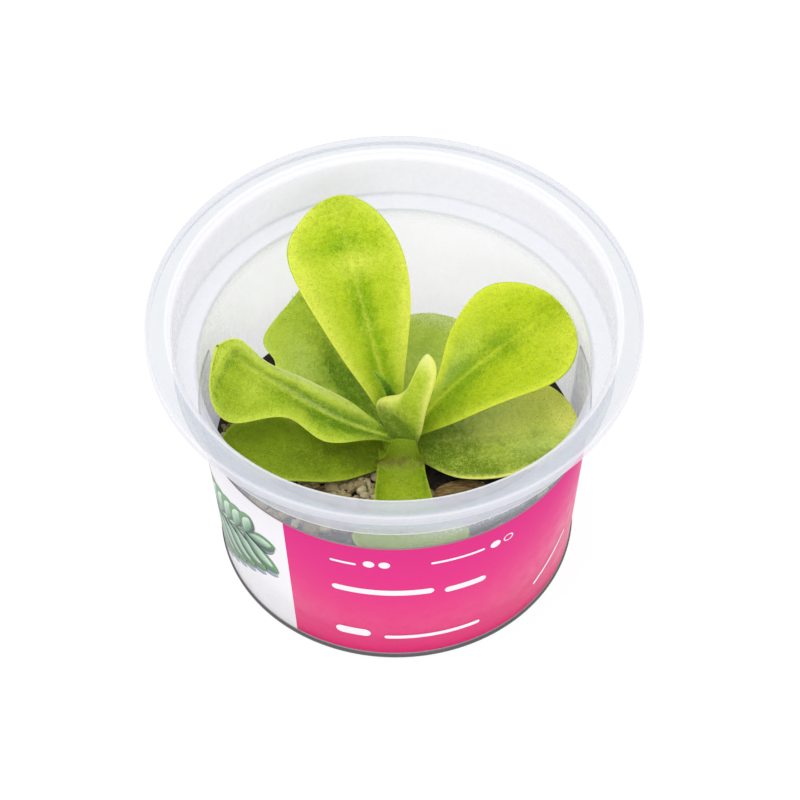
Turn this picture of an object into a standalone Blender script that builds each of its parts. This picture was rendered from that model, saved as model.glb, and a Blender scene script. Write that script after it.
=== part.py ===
"""Potted butterwort: a small rosette of fleshy leaves in a clear tub with a printed label.

Metres, +Z up. The origin is the centre of the tub's base, on the surface it stands on.
The front of the label and the front leaf face -Y.
"""
import math
import random

import bmesh
import bpy
import numpy as np
from mathutils import Matrix, Vector

MM = 0.001
GAP = 0.3 * MM                      # left between pieces that touch

# Tub, turned about Z
RIM_RADIUS = 50.5 * MM
TUB_HEIGHT = 65.7 * MM
FLANGE_DROP = 2.4 * MM              # height of the skirt round the flange
LIP_RADIUS = 46.2 * MM              # inner edge of the flange
NECK_RADIUS = 45.3 * MM             # wide collar under the flange, outside
LEDGE_HEIGHT = 52.9 * MM            # where the collar steps in to the body
BODY_BASE_RADIUS = 36.6 * MM        # outside of the body, carried down to the surface
BODY_TAPER = 0.0819                 # gain in radius for each unit of height
FOOT_RADIUS = 37.7 * MM
FOOT_HEIGHT = 1.4 * MM
WALL = 0.7 * MM
FLOOR = 1.0 * MM
FLANGE_THICKNESS = 0.9 * MM         # of the flange's plate and of its skirt
STEP_ROUND = 0.6 * MM               # bevel at the ledge
EDGE_ROUND = 0.5 * MM               # bevel at the rim and the foot
FLOOR_ROUND = 0.8 * MM              # bevel where the wall meets the floor
LIP_DEPTH = 2.0 * MM                # from the rim down to the collar's straight wall
TUB_SIDES = 64

# Label wrapped round the front and the sides of the body
LABEL_BOTTOM = 1.7 * MM
LABEL_TOP = 42.2 * MM
LABEL_THICKNESS = 0.35 * MM
LABEL_GAP = 0.25 * MM
LABEL_REACH = math.radians(107)     # from the middle of the front to either end
LABEL_STEPS = 38

# Soil with coarse grit in its top
SOIL_TOP = 24.7 * MM
SOIL_SIDES = 48
SOIL_RINGS = 6
SOIL_WAVE = 0.35 * MM               # height of its waves
SOIL_WAVE_LENGTH = 22.0 * MM
SOIL_DIP = 2.4 * MM                 # how much lower it lies at the back wall
SOIL_DIP_START = 16.0 * MM          # where it starts to fall, towards the back
SOIL_DIP_RUN = 18.0 * MM
GRIT_COUNT = 62
GRIT_SIZE = (1.5 * MM, 2.7 * MM)    # radius of a granule
GRIT_FLATNESS = 0.75                # height of a granule over its width
GRIT_LIFT = 0.1                     # height of its middle over the soil, in radii
GRIT_LIMIT = 26.3 * MM              # no granule stands higher, so that the leaves clear it
GRIT_MARGIN = 0.8 * MM              # bare soil left at the wall and round the crown
GRIT_SEED = 7
BARE_SPOT = (11.5 * MM, -9.8 * MM)  # no granule lies here, to the right of the front leaf's stalk
BARE_RADIUS = 4.0 * MM

# Crown, the short stem that carries the leaves
CROWN_X = 0.9 * MM
CROWN_Y = -3.4 * MM
CROWN_SIDES = 20
STUB_RADIUS = 2.5 * MM
STUB_BOTTOM = 17.0 * MM
STUB_ROUND = 0.8 * MM
CROWN_PROFILE = (                   # radius and height, mm
    (2.5, 25.0), (3.3, 27.0), (3.6, 29.0), (3.4, 30.6), (2.8, 31.7), (1.8, 32.6), (0.7, 33.0),
)

# Leaf mesh
STATIONS = 14                       # steps from the crown to the tip
ACROSS = 8                          # steps from one margin to the other
TIP_SPACING = 2.2                   # draws the stations together towards the round tip
SWEEP_POWER = 1.5                   # the midrib bends sideways mostly in its outer half
FOLD_POWER = 1.5
EDGE_POWER = 4.0                    # how close to the margin its waves and curl stay
HOOK_POWER = 6.0                    # how close to the tip it hooks up
BLADE_POWER = 0.7                   # the waves are highest a little inside the middle
LEAST_HALF_WIDTH = 0.3              # mm
EDGE_THICKNESS = 0.75               # mm
MIDRIB_STEPS = 200

# Each leaf, in mm and degrees. seat: direction of its seat on the crown; height: of the seat;
# out: how much further out it sits than the crown's surface.
# azimuth, sweep: where the midrib heads, and how far it turns to the left by the tip.
# rise: slope at the base, the middle and the tip; bank: tilt of the left half upwards there.
# left, right: half widths at even steps; fold: how far both halves turn up at the midrib.
# tip: bluntness of the tip; thick: at the midrib, base to tip; wave: height and count of the
# margin's waves; curl: turn-up of the left and right margin; hook: extra slope of the tip.
LEAVES = {
    "leaf_back_tall": dict(
        seat=108, height=32.6, azimuth=112, sweep=-6, rise=(44, 44, 22), bank=(0, 7, -18), length=50.0,
        left=(1.8, 4.8, 8.2, 11.2, 13.3, 13.9, 11.0), right=(1.8, 3.8, 6.8, 9.9, 11.2, 10.6, 8.6),
        fold=(20, 12, 6), tip=8, thick=(2.0, 1.4, 1.0), wave=(0.5, 1.5), curl=(0.4, 0.8), hook=0,
    ),
    "leaf_right_upper": dict(
        seat=28, height=31.8, azimuth=31, sweep=3, rise=(50, 20, 8), bank=(8, 3, 10), length=41.6,
        left=(1.7, 3.0, 9.8, 13.0, 10.4), right=(2.0, 9, 13.3, 15.5, 12.8), fold=(20, 12, 6), tip=9,
        thick=(2.0, 1.4, 1.0), wave=(0.4, 1.5), curl=(0.6, 0.4), hook=0,
    ),
    "leaf_left_curled": dict(
        seat=176, height=32.2, azimuth=165, sweep=3, rise=(6, 32, 24), bank=(0, -38, -28), length=40.5,
        left=(2.2, 6.3, 5, 12.6, 15.2), right=(1.7, 4, 4.4, 3.3, 6.4), fold=(20, 15, 20), tip=10,
        thick=(1.8, 1.4, 1.0), wave=(0.5, 2.0), curl=(0.8, 1.2), hook=30,
    ),
    "leaf_back_left": dict(
        seat=138, height=29.8, azimuth=125, sweep=-16, rise=(0, 13, 22), bank=(0, -4, -24), length=38.5,
        left=(1.8, 2.2, 6.5, 14.6, 11.5, 12.2, 3.0), right=(2.0, 4.5, 7.5, 9, 8.5), fold=(12, 8, 5), tip=8,
        thick=(1.6, 1.3, 1.0), wave=(0.5, 2.0), curl=(0.3, 0.6), hook=0,
    ),
    "leaf_back": dict(
        seat=75, height=28.9, azimuth=75, sweep=1, rise=(8, 0, 8), bank=(0, 0, 0), length=31.2,
        left=(2.4, 5, 9, 11.5, 10), right=(2.4, 7, 11, 12.5, 11), fold=(12, 6, 3), tip=8,
        thick=(1.8, 1.3, 1.0), wave=(0.4, 2.0), curl=(0.3, 0.3), hook=0,
    ),
    "leaf_right_lower": dict(
        seat=0, height=29.2, azimuth=2, sweep=2, rise=(8, 6, 10), bank=(20, 2, 0), length=33.5,
        left=(2.4, 8, 13, 14, 12), right=(4.0, 10.2, 12, 11, 10), fold=(4, 6, 3), tip=6,
        thick=(1.8, 1.3, 1.0), wave=(0.4, 2.0), curl=(0.3, 0.5), hook=0,
    ),
    "leaf_left_lower": dict(
        seat=192, height=28.7, azimuth=184, sweep=-2, rise=(2, 6, 10), bank=(-24, 0, 5), length=33.6,
        left=(4.4, 7.5, 9.7, 9.6, 9.0), right=(2.0, 3.5, 7, 11, 11.5), fold=(4, 6, 3), tip=5,
        thick=(1.8, 1.3, 1.0), wave=(0.4, 2.0), curl=(0.5, 0.3), hook=0,
    ),
    "leaf_front": dict(
        seat=-88, height=28.7, azimuth=-88, sweep=0, rise=(3, 0, 12), bank=(0, 0, 0), length=28.0,
        left=(4.6, 5.4, 7.5, 14.5, 12), right=(4.7, 5.6, 7.0, 12, 10), fold=(10, 8, 3), tip=6,
        thick=(2.0, 1.6, 1.0), wave=(0.3, 1.5), curl=(0.3, 0.3), hook=0,
    ),
    "leaf_young_centre": dict(
        seat=-54, height=33.1, out=1.0, azimuth=-124, sweep=-21, rise=(84, 106, 137), bank=(4, 0, 0),
        length=23.4, left=(3.0, 4.2, 4.6, 5.0, 5.6), right=(3.9, 7.7, 2.4, 0.6, 2.7),
        fold=(-1, 11, 28), tip=5, thick=(1.6, 1.2, 1.0), wave=(0.0, 1.0), curl=(0.0, 0.6), hook=0,
    ),
    "leaf_young_small": dict(
        seat=116, height=33.6, azimuth=124, sweep=19, rise=(62, 65, 40), bank=(0, 0, 0), length=14.3,
        left=(1.1, 1.3, 0.6, 0.7, 1.3), right=(1.3, 2.0, 1.9, 1.6, 1.0), fold=(7, 27, 29), tip=5,
        thick=(1.2, 1.0, 0.9), wave=(0.0, 1.0), curl=(0.0, 0.0), hook=0,
    ),
}

# Colours, linear RGB
CLEAR_PLASTIC = (0.86, 0.89, 0.92)  # shown with an alpha of CLEAR_ALPHA
CLEAR_ALPHA = 0.35
LABEL_PINK = (0.80, 0.08, 0.33)
SOIL_DARK = (0.045, 0.038, 0.032)
CROWN_GREEN = (0.22, 0.30, 0.03)
LEAF_BRIGHT = (0.47, 0.66, 0.03)
LEAF_DARK = (0.21, 0.37, 0.02)
LOWER_LEAVES = ("leaf_back_left", "leaf_back", "leaf_right_lower", "leaf_left_lower", "leaf_front")


def clear_scene():
    for obj in list(bpy.data.objects):
        bpy.data.objects.remove(obj, do_unlink=True)


def material(name, colour, roughness, alpha=1.0):
    mat = bpy.data.materials.new(name)
    mat.use_nodes = True
    shader = mat.node_tree.nodes["Principled BSDF"]
    shader.inputs["Base Color"].default_value = (*colour, 1.0)
    shader.inputs["Roughness"].default_value = roughness
    shader.inputs["Metallic"].default_value = 0.0
    shader.inputs["Alpha"].default_value = alpha
    return mat


def add_object(name, bm, mat, smooth_angle=None):
    """Puts a bmesh into the scene as one named object."""
    mesh = bpy.data.meshes.new(name)
    bm.to_mesh(mesh)
    bm.free()
    mesh.materials.append(mat)
    if smooth_angle is not None:
        mesh.shade_smooth()
        mesh.set_sharp_from_angle(angle=math.radians(smooth_angle))
    obj = bpy.data.objects.new(name, mesh)
    bpy.context.scene.collection.objects.link(obj)
    return obj


def circle(radius, height, sides, centre=(0.0, 0.0)):
    """Points evenly spaced round a level circle."""
    angles = [2.0 * math.pi * k / sides for k in range(sides)]
    return [(centre[0] + radius * math.cos(a), centre[1] + radius * math.sin(a), height) for a in angles]


def skinned(rings):
    """Body skinned over rings of points, with flat faces over the first and the last one. Each
    ring runs anticlockwise, looking back from the next one."""
    bm = bmesh.new()
    loops = [[bm.verts.new(point) for point in ring] for ring in rings]
    bm.faces.new(reversed(loops[0]))
    bm.faces.new(loops[-1])
    for low, high in zip(loops, loops[1:]):
        for k in range(len(low)):
            n = (k + 1) % len(low)
            bm.faces.new((low[k], low[n], high[n], high[k]))
    return bm


def turned(profile, sides, centre=(0.0, 0.0)):
    """Body turned about a vertical axis, from (radius, height) points that run up its outside
    and back down its inside."""
    return skinned([circle(radius, height, sides, centre) for radius, height in profile])


def body_radius(height):
    """Outside radius of the tub's tapered body."""
    return BODY_BASE_RADIUS + BODY_TAPER * height


def inner_radius(height):
    """Inside radius of the tub's tapered body."""
    return body_radius(height) - WALL


def make_tub():
    """Thin-walled tub: foot bead, tapered body, ledge, wide collar, and a flange with a skirt."""
    skirt_under = TUB_HEIGHT - FLANGE_DROP
    plate_under = TUB_HEIGHT - FLANGE_THICKNESS
    skirt_inner = RIM_RADIUS - FLANGE_THICKNESS
    inner_neck = NECK_RADIUS - WALL
    ledge_top = LEDGE_HEIGHT + WALL
    outside = [
        (FOOT_RADIUS - EDGE_ROUND, 0.0),
        (FOOT_RADIUS, EDGE_ROUND),
        (FOOT_RADIUS, FOOT_HEIGHT - EDGE_ROUND / 2.0),
        (body_radius(FOOT_HEIGHT), FOOT_HEIGHT),
        (body_radius(LEDGE_HEIGHT - STEP_ROUND), LEDGE_HEIGHT - STEP_ROUND),
        (body_radius(LEDGE_HEIGHT) + STEP_ROUND, LEDGE_HEIGHT),
        (NECK_RADIUS - STEP_ROUND, LEDGE_HEIGHT),
        (NECK_RADIUS, LEDGE_HEIGHT + STEP_ROUND),
        (NECK_RADIUS, plate_under),
        (skirt_inner, plate_under),
        (skirt_inner, skirt_under),
        (RIM_RADIUS, skirt_under),
        (RIM_RADIUS, TUB_HEIGHT - EDGE_ROUND),
        (RIM_RADIUS - EDGE_ROUND, TUB_HEIGHT),
    ]
    inside = [
        (LIP_RADIUS, TUB_HEIGHT),
        (inner_neck + EDGE_ROUND, TUB_HEIGHT - LIP_DEPTH + EDGE_ROUND),
        (inner_neck, TUB_HEIGHT - LIP_DEPTH),
        (inner_neck, ledge_top + STEP_ROUND),
        (inner_neck - STEP_ROUND, ledge_top),
        (inner_radius(LEDGE_HEIGHT) + STEP_ROUND, ledge_top),
        (inner_radius(LEDGE_HEIGHT), LEDGE_HEIGHT),
        (inner_radius(FLOOR + FLOOR_ROUND), FLOOR + FLOOR_ROUND),
        (inner_radius(FLOOR) - FLOOR_ROUND, FLOOR),
    ]
    plastic = material("clear_plastic", CLEAR_PLASTIC, 0.25, CLEAR_ALPHA)
    add_object("tub", turned(outside + inside, TUB_SIDES), plastic, 35)


def make_label():
    """Label bent round the body, clear of it by the label gap and open at the back."""
    rings = []
    for step in range(LABEL_STEPS + 1):
        angle = LABEL_REACH * (2.0 * step / LABEL_STEPS - 1.0)
        ring = []
        for off, height in ((0.0, LABEL_BOTTOM), (0.0, LABEL_TOP),
                            (LABEL_THICKNESS, LABEL_TOP), (LABEL_THICKNESS, LABEL_BOTTOM)):
            radius = body_radius(height) + LABEL_GAP + off
            ring.append((radius * math.sin(angle), -radius * math.cos(angle), height))
        rings.append(ring)
    add_object("label", skinned(rings), material("label_print", LABEL_PINK, 0.4), 35)


def soil_top(x, y):
    """Height of the soil's gently uneven surface, which falls towards the back."""
    turn = 2.0 * math.pi / SOIL_WAVE_LENGTH
    fall = min(max((y - SOIL_DIP_START) / SOIL_DIP_RUN, 0.0), 1.0)
    return SOIL_TOP + SOIL_WAVE * math.sin(x * turn + 1.0) * math.cos(y * turn + 0.5) - SOIL_DIP * fall


def soil_body():
    """Soil that fills the tub, with a plain hole in it for the crown's stub."""
    bottom = FLOOR + GAP
    corner = bottom + FLOOR_ROUND
    rings = [
        circle(inner_radius(bottom) - GAP - FLOOR_ROUND, bottom, SOIL_SIDES),
        circle(inner_radius(corner) - GAP, corner, SOIL_SIDES),
    ]
    wall = []
    for x, y, _ in circle(1.0, 0.0, SOIL_SIDES):
        reach = inner_radius(SOIL_TOP)
        reach = inner_radius(soil_top(x * reach, y * reach)) - GAP
        wall.append((x * reach, y * reach))
    hole = circle(STUB_RADIUS + GAP, STUB_BOTTOM - GAP, SOIL_SIDES, (CROWN_X, CROWN_Y))
    for step in range(SOIL_RINGS + 1):
        ring = []
        for outer, inner in zip(wall, hole):
            spot = Vector(outer[:2]).lerp(Vector(inner[:2]), step / SOIL_RINGS)
            ring.append((spot.x, spot.y, soil_top(spot.x, spot.y)))
        rings.append(ring)
    return skinned(rings + [hole])


def grit_granules(collection):
    """Angular granules scattered over the soil, each sunk by more than half into it."""
    draw = random.Random(GRIT_SEED)
    wall = inner_radius(SOIL_TOP) - GAP
    placed = []
    while len(placed) < GRIT_COUNT:
        size = draw.uniform(*GRIT_SIZE)
        reach = wall - size - GRIT_MARGIN
        radius = reach * math.sqrt(draw.random())
        angle = draw.uniform(-math.pi, math.pi)
        spot = Vector((radius * math.cos(angle), radius * math.sin(angle)))
        from_crown = (spot - Vector((CROWN_X, CROWN_Y))).length
        clear_of_hole = from_crown > STUB_RADIUS + GAP + size + GRIT_MARGIN
        clear_of_bare = (spot - Vector(BARE_SPOT)).length > BARE_RADIUS + size
        apart = all((spot - other).length > (size + far) * 1.02 for other, far in placed)
        if not (clear_of_hole and clear_of_bare and apart):
            continue
        placed.append((spot, size))
        bm = bmesh.new()
        turn = Matrix.Rotation(draw.uniform(0.0, math.pi), 4, "Z")
        tilt = Matrix.Rotation(draw.uniform(0.2, 0.9), 4, "X")
        squash = Matrix.Diagonal((draw.uniform(0.8, 1.0), draw.uniform(0.8, 1.0), GRIT_FLATNESS, 1.0))
        bmesh.ops.create_icosphere(bm, subdivisions=1, radius=size, matrix=squash @ turn @ tilt)
        level = soil_top(spot.x, spot.y) + GRIT_LIFT * size
        height = min(level, GRIT_LIMIT - GRIT_FLATNESS * size)
        bmesh.ops.translate(bm, verts=bm.verts, vec=(spot.x, spot.y, height))
        mesh = bpy.data.meshes.new("granule")
        bm.to_mesh(mesh)
        bm.free()
        collection.objects.link(bpy.data.objects.new("granule", mesh))


def make_soil():
    """Soil and its granules, fused into one body."""
    soil = add_object("soil", soil_body(), material("soil", SOIL_DARK, 0.95))
    granules = bpy.data.collections.new("granules")
    bpy.context.scene.collection.children.link(granules)
    grit_granules(granules)
    union = soil.modifiers.new("fuse_granules", "BOOLEAN")
    union.operation = "UNION"
    union.operand_type = "COLLECTION"
    union.collection = granules
    union.solver = "EXACT"
    bpy.context.view_layer.update()
    fused = bpy.data.meshes.new_from_object(soil.evaluated_get(bpy.context.evaluated_depsgraph_get()))
    soil.modifiers.remove(union)
    soil.data = fused
    for granule in list(granules.objects):
        bpy.data.objects.remove(granule, do_unlink=True)
    bpy.data.collections.remove(granules)


def make_crown():
    """Short stem with a stub that stands in the soil and a rounded top that carries the leaves."""
    profile = [(STUB_RADIUS - STUB_ROUND, STUB_BOTTOM), (STUB_RADIUS, STUB_BOTTOM + STUB_ROUND)]
    profile += [(radius * MM, height * MM) for radius, height in CROWN_PROFILE]
    bm = turned(profile, CROWN_SIDES, (CROWN_X, CROWN_Y))
    add_object("crown", bm, material("crown", CROWN_GREEN, 0.5), 50)


def crown_radius(height):
    """Radius of the crown at a height in mm, in mm."""
    radii = [point[0] for point in CROWN_PROFILE]
    heights = [point[1] for point in CROWN_PROFILE]
    return float(np.interp(height, heights, radii))


def through(values, s):
    """Smooth curve through evenly spaced values, read at s from 0 to 1."""
    v = np.asarray(values, float)
    spans = len(v) - 1
    x = np.clip(s, 0.0, 1.0) * spans
    i = np.minimum(x.astype(int), spans - 1)
    t = x - i
    p = np.concatenate([[2 * v[0] - v[1]], v, [2 * v[-1] - v[-2]]])
    a, b, c, d = p[i], p[i + 1], p[i + 2], p[i + 3]
    square = (2 * a - 5 * b + 4 * c - d) * t ** 2
    cube = (3 * b - a - 3 * c + d) * t ** 3
    return 0.5 * (2 * b + (c - a) * t + square + cube)


def directions(leaf, s):
    """Unit vectors along the midrib, to its left and up from the upper face, at each s."""
    azimuth = np.radians(leaf["azimuth"] + leaf["sweep"] * s ** SWEEP_POWER)
    rise = np.radians(through(leaf["rise"], s) + leaf["hook"] * s ** HOOK_POWER)
    along = np.stack([np.cos(rise) * np.cos(azimuth), np.cos(rise) * np.sin(azimuth), np.sin(rise)], -1)
    level = np.stack([-np.sin(azimuth), np.cos(azimuth), 0.0 * azimuth], -1)
    above = np.cross(along, level)
    bank = np.radians(through(leaf["bank"], s))[:, None]
    return along, np.cos(bank) * level + np.sin(bank) * above, np.cos(bank) * above - np.sin(bank) * level


def midrib(leaf, s):
    """Points of the midrib in mm, from the seat on the crown outwards."""
    fine = np.linspace(0.0, 1.0, MIDRIB_STEPS + 1)
    along = directions(leaf, fine)[0]
    steps = (along[1:] + along[:-1]) / 2.0 * leaf["length"] / MIDRIB_STEPS
    seat = math.radians(leaf["seat"])
    slope = math.radians(leaf["rise"][0])
    under = crown_radius(leaf["height"] - leaf["thick"][0] * math.cos(slope))
    reach = max(crown_radius(leaf["height"]), under - leaf["thick"][0] * math.sin(slope))
    reach += leaf.get("out", 0.0) + GAP / MM
    start = np.array([
        CROWN_X / MM + reach * math.cos(seat), CROWN_Y / MM + reach * math.sin(seat), leaf["height"],
    ])
    path = np.concatenate([[start], start + np.cumsum(steps, 0)])
    return np.stack([np.interp(s, fine, path[:, axis]) for axis in range(3)], -1)


def leaf_faces(leaf, s, across):
    """Upper and lower face of a leaf as grids of points, mm. across runs from -1, the right
    margin, to 1, the left."""
    point = midrib(leaf, s)[:, None, :]
    _, left, above = (vector[:, None, :] for vector in directions(leaf, s))
    round_tip = np.sqrt(np.maximum(1.0 - s ** leaf["tip"], 0.0))
    half_left = np.maximum(through(leaf["left"], s), LEAST_HALF_WIDTH) * round_tip
    half_right = np.maximum(through(leaf["right"], s), LEAST_HALF_WIDTH) * round_tip
    u = across[None, :]
    width = np.where(u > 0.0, half_left[:, None], half_right[:, None])
    fold = np.radians(through(leaf["fold"], s))[:, None]
    blade = np.sin(np.pi * s ** BLADE_POWER)[:, None]
    height, count = leaf["wave"]
    wave = height * np.sin(2.0 * np.pi * (count * s[:, None] + 0.25 * np.sign(u)))
    curl = np.where(u > 0.0, leaf["curl"][0], leaf["curl"][1])
    sideways = u * width * np.cos(fold)
    lift = np.abs(u) ** FOLD_POWER * width * np.sin(fold) + np.abs(u) ** EDGE_POWER * blade * (wave + curl)
    upper = point + sideways[:, :, None] * left + lift[:, :, None] * above
    middle = through(leaf["thick"], s)[:, None]
    thickness = EDGE_THICKNESS + (middle - EDGE_THICKNESS) * (1.0 - u ** 2)
    return upper, upper - thickness[:, :, None] * above


def make_leaf(name, leaf):
    """Closed leaf: two faces split into triangles alike, joined round the margin."""
    s = 1.0 - (1.0 - np.arange(STATIONS) / STATIONS) ** TIP_SPACING
    across = np.linspace(-1.0, 1.0, ACROSS + 1)
    bm = bmesh.new()
    grids = []
    for face in leaf_faces(leaf, s, across):
        grids.append([[bm.verts.new(Vector(point) * MM) for point in row] for row in face])
    upper, lower = grids
    last = STATIONS - 1
    for i in range(last):
        for j in range(ACROSS):
            for grid, flip in ((upper, False), (lower, True)):
                a, b, c, d = grid[i][j], grid[i + 1][j], grid[i + 1][j + 1], grid[i][j + 1]
                for corners in ((a, b, c), (a, c, d)):
                    bm.faces.new(reversed(corners) if flip else corners)
    border = [(i, 0) for i in range(last)]
    border += [(last, j) for j in range(ACROSS)]
    border += [(i, ACROSS) for i in range(last, 0, -1)]
    border += [(0, j) for j in range(ACROSS, 0, -1)]
    for (i, j), (m, n) in zip(border, border[1:] + border[:1]):
        a, b, c, d = upper[i][j], lower[i][j], lower[m][n], upper[m][n]
        bm.faces.new((a, b, c))
        bm.faces.new((a, c, d))
    colour = LEAF_DARK if name in LOWER_LEAVES else LEAF_BRIGHT
    add_object(name, bm, material(name, colour, 0.45), 40)


def main():
    clear_scene()
    make_tub()
    make_label()
    make_soil()
    make_crown()
    for name, leaf in LEAVES.items():
        make_leaf(name, leaf)


main()
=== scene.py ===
"""Looks of the potted butterwort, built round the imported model.

Sizes are in mm and turned into metres where a mesh is made. +Z is up, the tub's base is at
the origin, and the front of the label and the front leaf face -Y.
"""
import math
import random

import bmesh
import bpy
import numpy as np
from mathutils import Matrix, Vector, noise


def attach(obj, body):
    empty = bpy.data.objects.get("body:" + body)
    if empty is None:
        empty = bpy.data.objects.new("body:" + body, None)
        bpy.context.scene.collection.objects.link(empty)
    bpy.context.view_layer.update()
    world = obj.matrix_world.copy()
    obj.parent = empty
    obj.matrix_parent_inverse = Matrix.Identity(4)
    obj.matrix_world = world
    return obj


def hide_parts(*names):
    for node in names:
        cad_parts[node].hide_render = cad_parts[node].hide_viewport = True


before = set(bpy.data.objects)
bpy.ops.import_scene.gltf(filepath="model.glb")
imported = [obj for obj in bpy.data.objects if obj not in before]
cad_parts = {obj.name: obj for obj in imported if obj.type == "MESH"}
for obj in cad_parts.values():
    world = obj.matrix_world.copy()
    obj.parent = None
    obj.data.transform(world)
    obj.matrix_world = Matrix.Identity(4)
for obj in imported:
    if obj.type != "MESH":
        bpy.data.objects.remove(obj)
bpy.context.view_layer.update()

MM = 0.001

# Camera, fitted to the rim, ledge and base of the tub in the photograph
CAMERA_TARGET = (0.99, 0.0, 39.46)
CAMERA_DISTANCE = 808.0
CAMERA_ELEVATION = 51.185           # degrees above the horizon
CAMERA_ROLL = -0.0119               # radians
CAMERA_LENS = 175.6                 # on a 36 mm sensor

# Studio
FLOOR_HALF = 3.0                    # in m, like its height
FLOOR_HEIGHT = -0.0002
FLOOR_GLOW = 0.88
SKY_STRENGTH = 0.92
LAMPS = (                           # name, place, width, power in W
    ("lamp_above", (-120.0, -60.0, 620.0), 420.0, 1.2),
    ("lamp_front", (160.0, -560.0, 300.0), 380.0, 0.6),
)

# Tub
RIM_RADIUS = 50.5
TUB_HEIGHT = 65.7
FLANGE_DROP = 2.4
FLANGE_THICKNESS = 0.9
LIP_RADIUS = 46.2
NECK_RADIUS = 45.3
LEDGE_HEIGHT = 52.9
BODY_BASE_RADIUS = 36.6
BODY_TAPER = 0.0819
FOOT_RADIUS = 37.7
FOOT_HEIGHT = 1.4
WALL = 0.7
FLOOR = 1.0
TUB_SIDES = 240
ARC_STEPS = 5                       # of a rounded edge
BODY_DENSITY = 0.16                 # of the milky plastic, from clear at 0 to solid at 1
COLLAR_DENSITY = 0.34
FLANGE_DENSITY = 0.3
PLASTIC_GLOW = 0.085                # light that comes through the plastic from behind

# Label
LABEL_BOTTOM = 1.7
LABEL_TOP = 42.2
LABEL_THICKNESS = 0.35
LABEL_GAP = 0.25
LABEL_REACH = 107.0                 # degrees from the middle of the front to either end
LABEL_STEP = 1.5                    # degrees between its columns
PANEL_END = -34.4                   # degrees, where the white panel meets the pink; + is to +X
PRINT_RADIUS = 39.0                 # where arcs along the label are measured
PRINT_LIFT = 0.03
DOT_RADIUS = 1.15
DOT_SIDES = 36
BLADE_STEPS = 20
BLADE_COLUMNS = 9

# Soil
SOIL_TOP = 24.7
SOIL_WAVE = 0.35
SOIL_WAVE_LENGTH = 22.0
SOIL_DIP = 2.4                      # how much lower it lies at the back wall
SOIL_DIP_START = 16.0
SOIL_DIP_RUN = 18.0
SOIL_SIDES = 180
SOIL_RINGS = 60
GRIT_COUNT = 62
GRIT_SIZE = (1.5, 2.7)
GRIT_FLATNESS = 0.75
GRIT_LIFT = 0.1                     # height of its middle over the soil, in radii
GRIT_LIMIT = 26.3
GRIT_MARGIN = 0.8
GRIT_SEED = 7
SCATTER_COUNT = 520                 # small granules among the others
SCATTER_SIZE = (0.35, 1.15)
BARE_SPOT = (11.5, -9.8)            # no granule lies here, to the right of the front leaf's stalk
BARE_RADIUS = 4.0
BED = (-13.8, -13.8, 17.0, 8.5)     # thick bed of pale granules: its middle and its half sizes
BED_COUNT = 400
BED_SIZE = (0.6, 1.5)
CHIP_COUNT = 12
CHIP_SHAPE = (1.6, 0.7, 0.28)
STONE_SEED = 11
STONE_CUTS = 9                      # planes that cut a ball to a granule
STONE_CUT_RANGE = (0.62, 0.86)      # how far from its middle they lie, in radii
STONE_SWELL = 1.12                  # brings a cut ball back to its size
FRONT_CHIP = (13.4, -13.2, 0.15, 3.2)   # place, turn in radians and size of the chip that shows most

# Crown
CROWN = (0.9, -3.4)
STUB_RADIUS = 2.5
GAP = 0.3                           # between pieces that touch
CROWN_PROFILE = (
    (2.5, 25.0), (3.3, 27.0), (3.6, 29.0), (3.4, 30.6), (2.8, 31.7), (1.8, 32.6), (0.7, 33.0),
)
CROWN_RINGS = 40
CROWN_SIDES = 64

# Sheath up the front of the crown, from the front leaf's stalk to the young leaf: the middle
# of its face, its half width, and how far its sides fall back
SHEATH = {
    "x": (1.1, 1.0, 1.0, 1.0, 1.2, 1.4, 1.5, 1.6),
    "y": (-12.8, -11.0, -9.4, -8.1, -7.45, -7.1, -6.75, -6.2),
    "z": (28.1, 28.55, 29.1, 30.0, 31.2, 32.4, 33.6, 34.8),
    "half": (5.1, 5.1, 5.0, 4.6, 4.0, 3.5, 3.0, 2.6),
    "depth": (-0.9, -0.7, -0.3, 0.8, 1.8, 2.0, 1.8, 1.6),
}
SHEATH_COLUMNS = 33
SHEATH_THICKNESS = 0.8

# Leaf mesh
STATIONS = 96
ACROSS = 56
ROOT_ROWS = 6
ROOT_LENGTH = 2.6                   # how far a leaf's base runs into the crown
TIP_SPACING = 2.2
SWEEP_POWER = 1.5
FOLD_POWER = 1.5
EDGE_POWER = 4.0
HOOK_POWER = 6.0
BLADE_POWER = 0.7
LEAST_HALF_WIDTH = 0.3
EDGE_THICKNESS = 0.5
MIDRIB_STEPS = 200

# Glands, the droplets on fine stalks that cover a leaf's upper face
GLANDS_PER_CM2 = 330
GLAND_HEIGHT = (0.18, 0.38)
GLAND_RADIUS = (0.05, 0.09)
GLAND_TRIES = 40000
GLAND_LEAN = 0.16

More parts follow.
